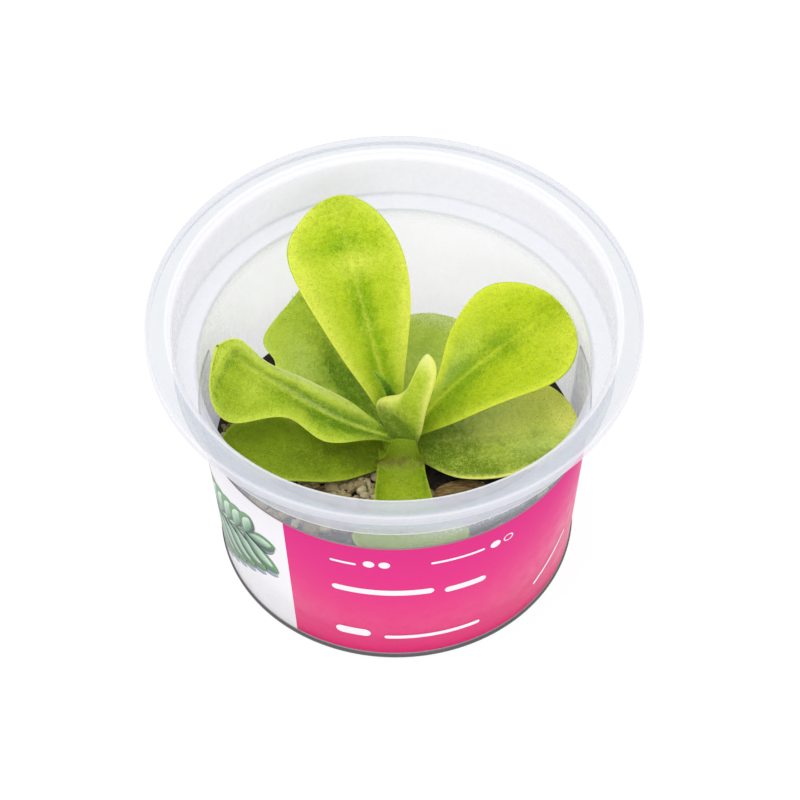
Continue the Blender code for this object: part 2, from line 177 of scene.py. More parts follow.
# Each leaf, in mm and degrees. seat: direction of its seat on the crown; height: of the seat;
# out: how much further out it sits than the crown's surface.
# azimuth, sweep: where the midrib heads, and how far it turns to the left by the tip.
# rise: slope at the base, the middle and the tip; bank: tilt of the left half upwards there.
# left, right: half widths at even steps; fold: how far both halves turn up at the midrib.
# tip: bluntness of the tip; thick: at the midrib, base to tip; wave: height and count of the
# margin's waves; curl: turn-up of the left and right margin; hook: extra slope of the tip.
# rib: strength of the midrib's groove and line; cup: height of the upturned rim at the tip, with a
# line of painted shade inside it.
# colours: its middle, its deep parts and its pale parts, sRGB; margin: width of the pale margin;
# rim: painted shade on its thin outer edge; droplet_glint: how strongly the droplets show painted glints.
# patches: how far along and across each one lies, its reach both ways, and its strength, above 0
# for deep green and below 0 for pale; some are painted shade in folds and hollows, and painted
# highlights on lit parts. frost_sheen: the same for patches with dense droplets, with painted sheen.
PLAIN_LEAF = dict(
    out=0.0, sweep=0, bank=(0, 0, 0), thick=(1.8, 1.3, 1.0), wave=(0.4, 2.0), curl=(0.3, 0.3), hook=0,
    rib=1.0, cup=0.0, margin=1.9, rim=0.0, droplet_glint=0.3, frost_sheen=(),
)
LEAVES = {
    # Painted shade in the band where the tip folds, and painted highlights beside it and on the tip.
    "leaf_back_tall": dict(
        seat=108, height=32.6, azimuth=112, sweep=-6, rise=(44, 44, 22), bank=(0, 7, -18), length=50.0,
        left=(1.8, 4.8, 8.2, 11.2, 13.3, 13.9, 11.0), right=(1.8, 3.8, 6.8, 9.9, 11.2, 10.6, 8.6),
        fold=(20, 12, 6), tip=8, thick=(2.0, 1.4, 1.0), wave=(0.5, 1.5), curl=(0.4, 0.8), rim=1.0,
        colours=((178, 204, 0), (134, 176, 0), (220, 230, 86)),
        patches=(
            (0.79, 0.10, 0.06, 0.7, 0.55), (0.50, 0.0, 0.18, 0.3, 0.5), (0.70, -0.15, 0.05, 0.5, -0.8),
            (0.62, 0.85, 0.25, 0.3, -0.6), (0.45, -0.9, 0.25, 0.25, -0.5), (0.95, 0.1, 0.06, 0.8, -0.4),
        ),
    ),
    "leaf_right_upper": dict(
        seat=28, height=31.8, azimuth=31, sweep=3, rise=(50, 20, 8), bank=(8, 3, 10), length=41.6,
        left=(1.7, 3.0, 9.8, 13.0, 10.4), right=(2.0, 9, 13.3, 15.5, 12.8), fold=(20, 12, 6), tip=9,
        thick=(2.0, 1.4, 1.0), wave=(0.4, 1.5), curl=(0.6, 0.4), rim=1.0,
        colours=((176, 200, 0), (128, 166, 0), (216, 229, 64)),
        patches=(
            (0.15, 0.0, 0.25, 1.0, 1.0), (0.60, 0.1, 0.22, 0.28, 0.6), (0.90, -0.6, 0.15, 0.4, -0.8),
            (0.75, 0.8, 0.2, 0.25, -0.3),
        ),
        frost_sheen=((0.4, 0.5, 0.2, 0.3, 0.2),),
    ),
    # Painted highlight on the upturned rim at its tip with a line of painted shade inside it, and painted
    # sheen along its top margin.
    "leaf_left_curled": dict(
        seat=176, height=32.2, azimuth=165, sweep=3, rise=(6, 32, 24), bank=(0, -38, -28), length=40.5,
        left=(2.2, 6.3, 5, 12.6, 15.2), right=(1.7, 4, 4.4, 3.3, 6.4), fold=(20, 15, 20), tip=10,
        thick=(1.8, 1.4, 1.0), wave=(0.5, 2.0), curl=(0.8, 1.2), hook=30, cup=0.5, droplet_glint=0.5,
        colours=((150, 180, 10), (92, 136, 0), (216, 233, 86)),
        patches=(
            (0.25, 0.0, 0.20, 0.6, 0.4), (1.0, 0.0, 0.07, 1.5, -1.6), (0.9, 0.0, 0.022, 1.0, 0.8),
            (0.72, 0.3, 0.08, 0.35, -0.4), (0.55, -0.9, 0.4, 0.4, -0.6), (0.55, -0.35, 0.3, 0.12, 0.5),
        ),
        frost_sheen=((0.55, -0.95, 0.32, 0.22, 0.9), (0.45, -0.12, 0.3, 0.07, 0.5)),
    ),
    "leaf_back_left": dict(
        seat=138, height=29.8, azimuth=125, sweep=-16, rise=(0, 13, 22), bank=(0, -4, -24), length=38.5,
        left=(1.8, 2.2, 6.5, 14.6, 11.5, 12.2, 3.0), right=(2.0, 4.5, 7.5, 9, 8.5), fold=(12, 8, 5), tip=8,
        thick=(1.6, 1.3, 1.0), wave=(0.5, 2.0), curl=(0.3, 0.6), rib=0.2, droplet_glint=0.4,
        colours=((182, 206, 52), (100, 142, 0), (204, 224, 90)),
        patches=(
            (0.35, 0.0, 0.40, 0.22, 0.9), (0.15, 0.0, 0.28, 1.5, 1.0), (0.2, -0.8, 0.35, 0.5, 0.9),
            (0.6, 0.9, 0.15, 0.4, -0.3),
        ),
        frost_sheen=((0.5, -0.5, 0.2, 0.25, 0.35), (0.6, 0.5, 0.2, 0.3, 0.3)),
    ),
    "leaf_back": dict(
        seat=75, height=28.9, azimuth=75, sweep=1, rise=(8, 0, 8), length=31.2, left=(2.4, 5, 9, 11.5, 10),
        right=(2.4, 7, 11, 12.5, 11), fold=(12, 6, 3), tip=8, rib=0.3,
        colours=((190, 214, 66), (132, 172, 4), (212, 228, 120)),
        patches=((0.50, 0.0, 0.3, 0.6, 0.3), (0.98, 0.0, 0.04, 1.5, -0.8)),
        frost_sheen=((0.97, 0.0, 0.08, 1.5, 0.7), (0.6, 0.0, 0.3, 1.0, 0.15)),
    ),
    # Painted shade along its front edge, and painted highlights on its middle, back and end, lightening it
    # where the leaf above casts shade.
    "leaf_right_lower": dict(
        seat=0, height=29.2, azimuth=2, sweep=2, rise=(8, 6, 10), bank=(20, 2, 0), length=33.5,
        left=(2.4, 8, 13, 14, 12), right=(4.0, 10.2, 12, 11, 10), fold=(4, 6, 3), tip=6,
        curl=(0.3, 0.5), rib=0.2, margin=0.8, droplet_glint=0.65,
        colours=((178, 204, 62), (106, 138, 0), (248, 252, 130)),
        patches=(
            (0.1, 0.0, 0.3, 1.5, 1.2), (0.94, 0.3, 0.09, 0.9, -1.0), (0.45, -0.95, 0.5, 0.5, 0.8),
            (0.7, 0.7, 0.3, 0.5, -1.0), (0.55, 0.1, 0.25, 0.3, -0.4),
        ),
        frost_sheen=((0.45, 0.5, 0.25, 0.5, 0.4), (0.75, -0.4, 0.15, 0.3, 0.3)),
    ),
    "leaf_left_lower": dict(
        seat=192, height=28.7, azimuth=184, sweep=-2, rise=(2, 6, 10), bank=(-24, 0, 5), length=33.6,
        left=(4.4, 7.5, 9.7, 9.6, 9.0), right=(2.0, 3.5, 7, 11, 11.5), fold=(4, 6, 3), tip=5,
        curl=(0.5, 0.3), rib=0.15, margin=1.2, colours=((126, 154, 0), (88, 110, 0), (166, 186, 50)),
        patches=((0.35, 0.3, 0.3, 0.6, 0.6), (0.05, 0.6, 0.15, 0.8, 0.6)),
    ),
    # Painted highlight on the middle and painted shade on the sides of its rounded stalk.
    "leaf_front": dict(
        seat=-88, height=28.7, azimuth=-88, rise=(3, 0, 12), length=28.0, left=(4.6, 5.4, 7.5, 14.5, 12),
        right=(4.7, 5.6, 7.0, 12, 10), fold=(10, 8, 3), tip=6, thick=(2.0, 1.6, 1.0), wave=(0.3, 1.5),
        rib=0.2, margin=0.4, colours=((134, 162, 0), (98, 128, 0), (170, 190, 50)),
        patches=(
            (0.05, 0.0, 0.12, 1.5, 0.3), (0.35, 0.0, 0.4, 0.5, -0.35), (0.3, -1.0, 0.4, 0.25, 0.7),
            (0.3, 1.0, 0.4, 0.25, 0.7),
        ),
    ),
    # Painted highlight on the lip of its margin, and painted shade in the crease below it.
    "leaf_young_centre": dict(
        seat=-54, height=33.1, out=1.0, azimuth=-124, sweep=-21, rise=(84, 106, 137), bank=(4, 0, 0),
        length=23.4, left=(3.0, 4.2, 4.6, 5.0, 5.6), right=(3.9, 7.7, 2.4, 0.6, 2.7),
        fold=(-1, 11, 28), tip=5, thick=(1.6, 1.2, 1.0), wave=(0.0, 1.0), curl=(0.0, 0.6),
        rib=0.0, margin=0.7, droplet_glint=0.1, colours=((168, 198, 14), (92, 128, 0), (236, 240, 120)),
        patches=(
            (0.0, 0.0, 0.26, 1.5, 1.3), (0.25, -0.2, 0.15, 0.6, 0.5), (0.42, -0.85, 0.16, 0.3, -0.9),
            (0.97, 0.0, 0.10, 1.5, -1.0), (0.70, 0.9, 0.25, 0.25, -0.5), (0.20, -0.7, 0.10, 0.5, 0.9),
        ),
        frost_sheen=((0.97, 0.0, 0.07, 0.8, 0.6),),
    ),
    "leaf_young_small": dict(
        seat=116, height=33.6, azimuth=124, sweep=19, rise=(62, 65, 40), length=14.3,
        left=(1.1, 1.3, 0.6, 0.7, 1.3), right=(1.3, 2.0, 1.9, 1.6, 1.0), fold=(7, 27, 29), tip=5,
        thick=(1.2, 1.0, 0.9), wave=(0.0, 1.0), curl=(0.0, 0.0), rib=0.3, margin=0.5,
        colours=((64, 112, 0), (30, 72, 0), (140, 176, 44)),
        patches=((0.30, 0.0, 0.3, 1.0, 0.5), (0.95, 0.0, 0.12, 1.0, -0.7)),
    ),
}


# Geometry helpers

def srgb(red, green, blue):
    """Linear colour of an sRGB one from 0 to 255."""
    def linear(value):
        value /= 255.0
        return value / 12.92 if value <= 0.04045 else ((value + 0.055) / 1.055) ** 2.4
    return (linear(red), linear(green), linear(blue), 1.0)


def body_radius(height):
    return BODY_BASE_RADIUS + BODY_TAPER * height


def full_turn(count):
    """Evenly spaced angles round a circle."""
    return np.linspace(0.0, 2.0 * np.pi, count, endpoint=False)


def polar(radius, angle):
    return radius * math.cos(angle), radius * math.sin(angle)


def unit(vectors):
    """The same directions with a length of one."""
    return vectors / np.linalg.norm(vectors, axis=1)[:, None]


def bell(distance, reach):
    """1 at no distance, and falling off beyond a reach."""
    return np.exp(-(distance / reach) ** 2)


def ring_faces(rows, columns):
    """Faces of a closed tube whose points come in rows, each of them a closed ring."""
    faces = []
    for i in range(rows - 1):
        for j in range(columns):
            k = (j + 1) % columns
            faces.append((i * columns + j, i * columns + k, (i + 1) * columns + k, (i + 1) * columns + j))
    faces.append(tuple(range(columns - 1, -1, -1)))
    faces.append(tuple(range((rows - 1) * columns, rows * columns)))
    return faces


def sheet_faces(rows, columns):
    """Faces of an open sheet of points in rows."""
    faces = []
    for i in range(rows - 1):
        for j in range(columns - 1):
            a = i * columns + j
            faces.append((a + columns, a + columns + 1, a + 1, a))
    return faces


def add_object(name, data):
    obj = bpy.data.objects.new(name, data)
    bpy.context.scene.collection.objects.link(obj)
    return obj


def add_piece(name, points, faces, materials, replaces=(), values=None, smooth=True, which=None):
    """A piece from points in mm. values are numbers that its material reads at each point,
    and which gives each face's place in the list of materials."""
    mesh = bpy.data.meshes.new(name)
    mesh.from_pydata((np.asarray(points, float) * MM).tolist(), [], faces)
    for mat in materials:
        mesh.materials.append(mat)
    if which is not None:
        mesh.polygons.foreach_set("material_index", which)
    for key, numbers in (values or {}).items():
        attribute = mesh.attributes.new(key, "FLOAT", "POINT")
        attribute.data.foreach_set("value", np.asarray(numbers, np.float32))
    if smooth:
        mesh.shade_smooth()
    mesh.update()
    obj = add_object(name, mesh)
    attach(obj, "root")
    if replaces:
        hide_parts(*replaces)
    return obj


def rounded(corners):
    """Profile of (radius, height, rounding, edge) corners with each corner replaced by an arc.
    Also gives how bright each point's edge is painted: above 0 a painted highlight, below 0 a
    painted grey line of shade. Only the arcs have it."""
    profile = []
    for k, (radius, height, fillet, edge) in enumerate(corners):
        here = Vector((radius, height))
        if fillet == 0.0:
            profile.append((tuple(here), 0.0))
            continue
        ways = [Vector(corners[k + off][:2]) - here for off in (-1, 1)]
        reach = min(fillet, *(way.length * 0.49 for way in ways))
        start, end = (here + way.normalized() * reach for way in ways)
        before, after = (
            [(tuple(point + way.normalized() * reach * 0.15), 0.0)] if way.length > 2.2 * reach else []
            for point, way in ((start, ways[0]), (end, ways[1]))
        )
        profile += before
        for step in range(ARC_STEPS + 1):
            t = step / ARC_STEPS
            point = start.lerp(here, t).lerp(here.lerp(end, t), t)
            profile.append((tuple(point), edge * math.sin(math.pi * t)))
        profile += after
    return zip(*profile)


def turned(profile, sides, centre=(0.0, 0.0)):
    """Points of a profile turned about a vertical axis, ring by ring."""
    angles = full_turn(sides)
    rings = []
    for radius, height in profile:
        x = centre[0] + radius * np.cos(angles)
        y = centre[1] + radius * np.sin(angles)
        rings.append(np.stack([x, y, np.full(sides, height)], -1))
    return np.concatenate(rings)


# Materials

class Material:
    """A material with one principled shader, and short ways to add the nodes that feed it."""

    def __init__(self, name, **inputs):
        self.mat = bpy.data.materials.new(name)
        self.mat.use_nodes = True
        self.tree = self.mat.node_tree
        self.shader = self.tree.nodes["Principled BSDF"]
        for key, value in inputs.items():
            self.shader.inputs[key.replace("_", " ")].default_value = value

    def set(self, socket, value):
        if isinstance(value, bpy.types.NodeSocket):
            self.tree.links.new(value, socket)
        else:
            socket.default_value = value

    def feed(self, name, value):
        """Feeds one of the shader's own inputs."""
        self.set(self.shader.inputs[name], value)

    def node(self, kind, out=0, settings=None, values=(), **inputs):
        """Adds a node, with values for its first inputs and others by name, and gives an output."""
        node = self.tree.nodes.new(kind)
        for key, value in (settings or {}).items():
            setattr(node, key, value)
        for socket, value in zip(node.inputs, values):
            self.set(socket, value)
        for key, value in inputs.items():
            self.set(node.inputs[key.replace("_", " ")], value)
        return node.outputs[out]

    def place(self):
        """Position in the row frame, in mm."""
        position = self.node("ShaderNodeTexCoord", "Object")
        scaling = {"operation": "SCALE"}
        return self.node("ShaderNodeVectorMath", settings=scaling, Vector=position, Scale=1.0 / MM)

    def height(self, place):
        return self.node("ShaderNodeSeparateXYZ", "Z", Vector=place)

    def dot(self, a, b):
        return self.node("ShaderNodeVectorMath", "Value", {"operation": "DOT_PRODUCT"}, values=(a, b))

    def stretch(self, vector, scale):
        """A place with each axis scaled, to draw a pattern out along one of them."""
        return self.node("ShaderNodeMapping", Vector=vector, Scale=scale)

    def math(self, operation, a, b, clamp=False):
        return self.node("ShaderNodeMath", 0, {"operation": operation, "use_clamp": clamp}, values=(a, b))

    def times(self, product, *others):
        for other in others:
            product = self.math("MULTIPLY", product, other)
        return product

    def noise(self, vector, size, detail=2.0, roughness=0.5):
        """Noise from 0 to 1 with features of a size in mm."""
        return self.node("ShaderNodeTexNoise", "Fac", Vector=vector, Scale=1.0 / size, Detail=detail,
                         Roughness=roughness)

    def cells(self, vector, size):
        """Distance from scattered points, in cells of a size in mm."""
        return self.node("ShaderNodeTexVoronoi", "Distance", Vector=vector, Scale=1.0 / size)

    def between(self, value, low, high, to_low=0.0, to_high=1.0):
        """A value's run from low to high, drawn out over another."""
        return self.node("ShaderNodeMapRange", values=(value, low, high, to_low, to_high))

    def band(self, value, start, full, fade, end, most=1.0):
        """0 up to a start, full from there to where it fades, and 0 again from the end."""
        return self.times(self.between(value, start, full), self.between(value, fade, end, most, 0.0))

    def value(self, name):
        """A number that the mesh holds at each point."""
        return self.node("ShaderNodeAttribute", "Fac", {"attribute_name": name})

    def mix(self, share, a, b):
        node = self.tree.nodes.new("ShaderNodeMix")
        node.data_type = "RGBA"
        self.set(node.inputs["Factor"], share)
        self.set(node.inputs[6], a)
        self.set(node.inputs[7], b)
        return node.outputs[2]

    def layers(self, colour, *above):
        """A colour with sRGB ones laid over it, each given after its share."""
        for share, over in above:
            colour = self.mix(share, colour, srgb(*over))
        return colour

    def bump(self, height, distance, strength=1.0):
        """Feeds a bump whose full height is a distance in mm."""
        normal = self.node("ShaderNodeBump", Height=height, Distance=distance * MM, Strength=strength)
        self.feed("Normal", normal)


def clear_plastic():
    """Milky clear moulded plastic: thin in the body, denser in the collar and the flange and
    where it is seen edge-on. Rounded edges are painted lighter as painted highlights, and the
    step into the body shows as a fine grey line of painted shade. Outer faces, the flat faces of
    the flange and the ledge are painted darker as painted shade, a lighter band on the outer faces
    at the top is a painted highlight, darker streaks on the body where it is seen edge-on are
    painted reflections, and the inner faces have a faint painted glow for light that comes through
    the plastic. Beads of condensation sit on the wall at the front right, painted lighter as
    painted glints. The foot is painted dark, standing in for the view of the soil behind it that
    it pipes."""
    m = Material("clear_plastic", IOR=1.45, Specular_IOR_Level=0.4, Emission_Strength=PLASTIC_GLOW)
    place = m.place()
    height = m.height(place)
    skirt_under = TUB_HEIGHT - FLANGE_DROP
    cloud = m.noise(place, 12.0)
    edge = m.value("edge")
    # painted highlights on rounded edges, and a painted grey line of shade where the edge value is below 0
    bright = m.between(edge, 0.1, 1.0)
    dark = m.between(edge, -1.0, -0.1, 1.0, 0.0)
    # the foot is painted dark, standing in for the soil seen through it
    foot = m.band(height, 0.2, 0.5, FOOT_HEIGHT, FOOT_HEIGHT + 0.4)
    edge_on = m.math("POWER", m.node("ShaderNodeLayerWeight", "Facing", Blend=0.5), 3.0)
    # painted reflections: darker streaks on the body where it is seen edge-on
    streak_noise = m.between(m.noise(m.stretch(place, (1.0, 1.0, 0.06)), 0.9, 3.0), 0.5, 0.72)
    reflection_streak = m.times(streak_noise, edge_on, m.between(height, 30.0, LEDGE_HEIGHT - 1.9, 0.9, 0.0))
    # painted shade: outer faces, the flat faces of the flange and the ledge are painted darker
    outwards = m.dot(m.stretch(place, (1.0, 1.0, 0.0)), m.node("ShaderNodeNewGeometry", "Normal"))
    high = m.math("MAXIMUM", m.between(outwards, 0.0, 12.0), m.between(height, 58.0, 62.0))
    ledge = m.band(height, *(LEDGE_HEIGHT + off for off in (-0.5, -0.1, 1.0, 1.6)), 0.6)
    outer_shade = m.math("MAXIMUM", m.times(m.between(outwards, -30.0, -6.0), high), ledge)
    # painted highlight: a lighter band on the outer faces near the top, over the skirt
    skirt = m.times(m.between(outwards, 20.0, 40.0), m.between(height, skirt_under - 2.3, skirt_under - 0.9))
    # beads of condensation at the front right, painted lighter as painted glints
    beads = m.between(m.cells(m.stretch(place, (1.0, 1.0, 0.7)), 0.9), 0.1, 0.36, 1.0, 0.4)
    corner = m.between(m.dot(place, (0.5, -0.87, 0.0)), 35.0, 39.5)
    bead_glints = m.times(corner, beads, m.band(height, 43.0, 47.0, LEDGE_HEIGHT - 1.9, LEDGE_HEIGHT - 0.4))
    milky = m.mix(cloud, srgb(232, 230, 241), srgb(236, 235, 244))
    milky = m.layers(
        milky, (outer_shade, (198, 203, 211)), (skirt, (232, 231, 238)), (m.times(reflection_streak, 0.4), (140, 145, 146)),
        (bright, (244, 244, 248)), (m.times(dark, 0.45), (150, 154, 158)), (bead_glints, (236, 238, 240)),
        (foot, (46, 42, 46)),
    )
    m.feed("Base Color", milky)
    # painted glow on the inner faces, for light that comes through the plastic
    m.feed("Emission Color", m.mix(outer_shade, srgb(232, 222, 255), srgb(0, 0, 0)))
    m.feed("Roughness", m.between(m.noise(place, 3.0, 3.0), 0.3, 0.7, 0.2, 0.34))
    density = m.between(height, LEDGE_HEIGHT - 3.0, LEDGE_HEIGHT + 0.6, BODY_DENSITY, COLLAR_DENSITY)
    flange = m.between(height, skirt_under - 0.2, skirt_under + 0.6, 0.0, FLANGE_DENSITY - COLLAR_DENSITY)
    density = m.math("ADD", m.math("ADD", density, flange), m.between(cloud, 0.3, 0.7, -0.015, 0.015))
    added = ((edge_on, 0.5), (bright, 0.5), (dark, 0.3), (reflection_streak, 0.25), (bead_glints, 0.6), (foot, 0.75))
    for share, amount in added:
        density = m.math("ADD", density, m.times(share, amount))
    m.feed("Alpha", m.math("MINIMUM", density, 0.97))
    m.bump(m.noise(place, 5.0, 1.0), 0.03, 0.5)
    return m.mat


def film(name, colour, fleck, low=None, glow=0.0):
    """Printed plastic film: satin, with the fine grain of the print. low is its colour near the
    foot, a deeper colour there as painted shade, and glow stands for the light that comes through it."""
    m = Material(name, IOR=1.45, Specular_IOR_Level=0.2, Emission_Strength=glow,
                 Emission_Color=(0.9, 0.88, 1.0, 1.0))
    place = m.place()
    grain = m.between(m.noise(place, 0.25), 0.35, 0.65, 0.0, 0.6)
    # painted shade: the colour runs to low towards the foot
    colour = m.mix(m.between(m.height(place), 2.0, 34.0, 1.0, 0.0), colour, low or colour)
    m.feed("Base Color", m.mix(grain, colour, fleck))
    m.feed("Roughness", m.between(m.noise(place, 3.0), 0.3, 0.7, 0.28, 0.4))
    m.bump(m.noise(place, 4.0, 1.0), 0.03, 0.4)
    return m.mat


def printed_leaf(name, dark, light):
    """Printed leaf shape that runs from dark at its stalk to light at its tip."""
    m = Material(name, IOR=1.45, Roughness=0.34)
    grain = m.between(m.noise(m.place(), 0.3), 0.3, 0.7, -0.12, 0.12)
    run = m.math("ADD", m.value("along"), grain, clamp=True)
    m.feed("Base Color", m.mix(run, dark, light))
    return m.mat


def soil_material():
    """Damp black mix."""
    m = Material("soil_mix", IOR=1.4)
    place = m.place()
    fine = m.noise(place, 0.7, 5.0, 0.7)
    m.feed("Base Color", m.mix(m.between(fine, 0.4, 0.75), srgb(24, 20, 16), srgb(60, 50, 38)))
    m.feed("Roughness", m.between(m.noise(place, 1.5), 0.35, 0.65, 0.55, 0.95))
    m.bump(fine, 0.5)
    return m.mat


def grit_material():
    """Beige to brown angular mineral granules: each one has its own tone."""
    m = Material("grit", Roughness=0.85, IOR=1.4)
    place = m.place()
    tone = m.value("tone")
    fleck = m.between(m.noise(place, 0.5, 4.0, 0.7), 0.4, 0.75, 0.0, 0.5)
    m.feed("Base Color", m.layers(
        srgb(100, 84, 52), (m.between(tone, 0.0, 0.6), (166, 152, 108)),
        (m.between(tone, 0.6, 1.0), (200, 190, 152)), (fleck, (110, 92, 64)),
    ))
    m.bump(m.noise(place, 0.35, 4.0, 0.6), 0.12)
    return m.mat


def bark_material():
    """Brown fibrous bark."""
    m = Material("bark", IOR=1.4, Specular_IOR_Level=0.2)
    fibre = m.noise(m.stretch(m.place(), (0.3, 1.6, 1.6)), 0.5, 4.0, 0.65)
    m.feed("Base Color", m.mix(m.between(fibre, 0.35, 0.65), srgb(80, 62, 32), srgb(150, 126, 78)))
    m.feed("Roughness", m.between(fibre, 0.3, 0.7, 0.65, 0.9))
    m.bump(fibre, 0.2)
    return m.mat


def leaf_grain(m, place, colour, pale, droplet_glint, frost_sheen=0.0, deep=0.0):
    """Adds the fine grain of the glands to a leaf's colour, roughness and surface. droplet_glint is
    how strongly the droplets show as painted glints, frost_sheen is where they are so dense that
    they whiten it, with a painted sheen, and deep is where it is dark and shows less of them. Dark
    specks in the grain are painted shade in tiny hollows."""
    grain = m.between(m.noise(place, 0.3, 3.0, 0.65), 0.36, 0.66)
    # painted shade: darker specks in tiny hollows of the grain
    pit_shade = m.between(m.noise(place, 0.4, 2.0, 0.6), 0.36, 0.52, 0.1, 0.0)
    # dense droplets whiten the leaf here, together with a painted sheen
    rime_and_sheen = m.times(frost_sheen, m.between(m.noise(place, 0.35, 3.0, 0.7), 0.4, 0.6, 0.25, 1.0))
    # painted glints: lighter dots where the droplets catch the light
    dots = m.between(m.cells(place, 0.45), 0.0, 0.34, droplet_glint, 0.0)
    colour = m.mix(m.times(grain, m.between(deep, 0.0, 1.0, 0.36, 0.14)), colour, pale)
    colour = m.layers(colour, (pit_shade, (70, 110, 0)), (rime_and_sheen, (214, 224, 176)), (dots, (226, 234, 150)))
    m.feed("Base Color", colour)
    m.feed("Roughness", m.between(m.noise(place, 0.8), 0.3, 0.7, 0.34, 0.5))
    m.bump(m.math("ADD", m.cells(place, 0.4), grain), 0.09, 0.8)


def leaf_material(name, leaf):
    """Soft fleshy leaf: translucent, finely grained by its glands, paler where it is thin. Its deep
    and pale values also hold painted shade and painted highlights.
    """
    middle, deep, pale = (srgb(*colour) for colour in leaf["colours"])
    m = Material(
        name, IOR=1.4, Specular_IOR_Level=0.25, Specular_Tint=(1.0, 1.0, 0.4, 1.0), Sheen_Weight=0.15,
        Sheen_Roughness=0.45, Sheen_Tint=(0.9, 1.0, 0.4, 1.0), Subsurface_Weight=0.3,
        Subsurface_Scale=0.001, Subsurface_Radius=(1.0, 1.4, 0.3),
    )
    place = m.place()
    broad = m.between(m.noise(place, 5.0, 3.0), 0.3, 0.7, -0.2, 0.2)
    broad = m.math("ADD", broad, m.between(m.noise(place, 0.9), 0.3, 0.7, -0.18, 0.18))
    to_deep = m.math("ADD", m.value("deep"), broad, clamp=True)
    to_pale = m.math("SUBTRACT", m.value("pale"), m.times(broad, 0.5), clamp=True)
    colour = m.mix(to_pale, m.mix(to_deep, middle, deep), pale)
    leaf_grain(m, place, colour, pale, leaf["droplet_glint"], m.value("frost_sheen"), to_deep)
    return m.mat


def gland_material(name, leaf):
    """Sticky droplets, nearly clear, so they take the leaf's own colours."""
    middle, deep, pale = (srgb(*colour) for colour in leaf["colours"])
    m = Material(name + "_droplets", Roughness=0.2, IOR=1.36, Specular_IOR_Level=0.4)
    m.feed("Base Color", m.mix(m.value("deep"), m.mix(m.value("tone"), middle, pale), deep))
    return m.mat


def crown_material():
    """Stem and sheath: green as the leaves that spring from it, with painted brown shade low down
    among the leaf bases and at the sheath's sides."""
    m = Material("crown", IOR=1.4, Specular_IOR_Level=0.25, Subsurface_Weight=0.2, Subsurface_Scale=0.001)
    place = m.place()
    green = m.mix(m.between(m.height(place), 28.5, 33.0), srgb(134, 160, 2), srgb(122, 150, 4))
    mottled = m.between(m.noise(place, 1.6, 3.0), 0.35, 0.65, 0.4, 1.2)
    # painted brown shade, where the mesh holds it
    brown_shade = m.math("MULTIPLY", m.value("brown_shade"), mottled, clamp=True)
    leaf_grain(m, place, m.layers(green, (brown_shade, (104, 92, 34))), srgb(176, 196, 70), 0.2)
    return m.mat


# Tub and label

def make_tub():
    """Thin clear tub with every edge rounded."""
    skirt_under = TUB_HEIGHT - FLANGE_DROP
    plate_under = TUB_HEIGHT - FLANGE_THICKNESS
    skirt_inner = RIM_RADIUS - FLANGE_THICKNESS
    inner_neck = NECK_RADIUS - WALL
    ledge_top = LEDGE_HEIGHT + WALL
    # the last number of each corner paints its arc: above 0 a painted highlight, below 0 a painted grey line
    # of shade
    corners = [
        (1.0, 0.0, 0.0, 0.0),
        (FOOT_RADIUS - 0.2, 0.0, 0.5, 0.0),
        (FOOT_RADIUS, FOOT_HEIGHT, 0.5, 0.0),
        (body_radius(FOOT_HEIGHT + 0.2), FOOT_HEIGHT + 0.2, 0.2, 0.0),
        (body_radius(LEDGE_HEIGHT), LEDGE_HEIGHT, 0.7, 0.0),
        (NECK_RADIUS, LEDGE_HEIGHT, 0.8, 1.0),
        (NECK_RADIUS, plate_under, 0.5, 0.0),
        (skirt_inner, plate_under, 0.5, 0.0),
        (skirt_inner, skirt_under, 0.25, 0.0),
        (RIM_RADIUS, skirt_under, 0.25, 0.6),
        (RIM_RADIUS, TUB_HEIGHT, 0.8, 0.4),
        (LIP_RADIUS, TUB_HEIGHT, 0.6, 0.5),
        (inner_neck + 0.2, TUB_HEIGHT - 1.8, 0.5, -0.3),
        (inner_neck, ledge_top, 0.9, 0.0),
        (body_radius(LEDGE_HEIGHT) - WALL, ledge_top, 0.6, -1.0),
        (body_radius(FLOOR) - WALL, FLOOR, 1.0, 0.0),
        (1.0, FLOOR, 0.0, 0.0),
    ]
    profile, edges = rounded(corners)
    points = turned(profile, TUB_SIDES)
    faces = ring_faces(len(profile), TUB_SIDES)
    values = {"edge": np.repeat(edges, TUB_SIDES)}
    add_piece("tub_moulding", points, faces, [clear_plastic()], ["tub"], values)


def on_label(arc, height, lift=PRINT_LIFT):
    """Points on the label's printed face: arc and height in mm, 0 at the front, + to the right."""
    angle = arc / PRINT_RADIUS
    radius = body_radius(height) + LABEL_GAP + LABEL_THICKNESS + lift
    return np.stack([radius * np.sin(angle), -radius * np.cos(angle), height], -1)


